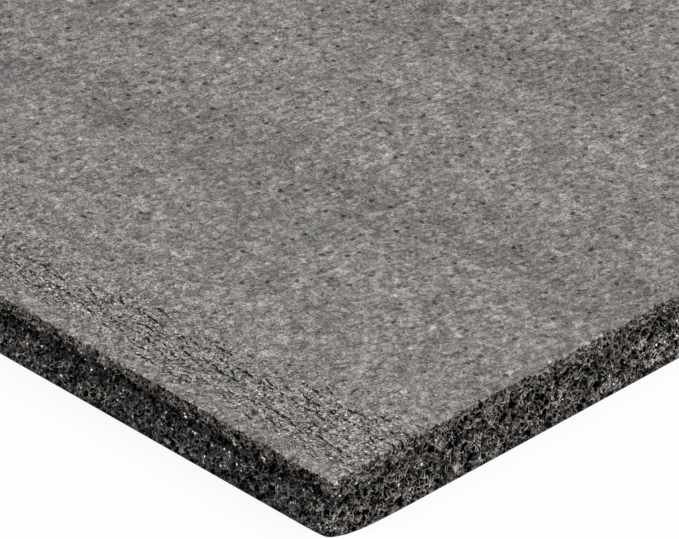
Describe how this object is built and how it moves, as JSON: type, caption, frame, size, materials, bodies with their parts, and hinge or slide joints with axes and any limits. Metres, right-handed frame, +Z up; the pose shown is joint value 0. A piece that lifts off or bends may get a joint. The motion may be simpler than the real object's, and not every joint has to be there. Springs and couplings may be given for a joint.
{
  "type": "foam sheet",
  "caption": "Square sheet of charcoal closed-cell extruded polyethylene foam with corrugated grey skins and rough open-celled cut edges, for cushioning, packing and lining",
  "frame": {"origin": "centre of the flat underside, which rests on the bench", "axes": "+Z up through the thickness, +X along the direction of extrusion, which the skin's valleys follow, +Y across it"},
  "size_m": [0.3048, 0.3048, 0.0127],
  "materials": {
    "foam": "matte pebbled charcoal-grey skin, near-black open cells on the cut edges"
  },
  "bodies": {
    "root": {"foam_sheet": "foam"}
  },
  "joints": []
}
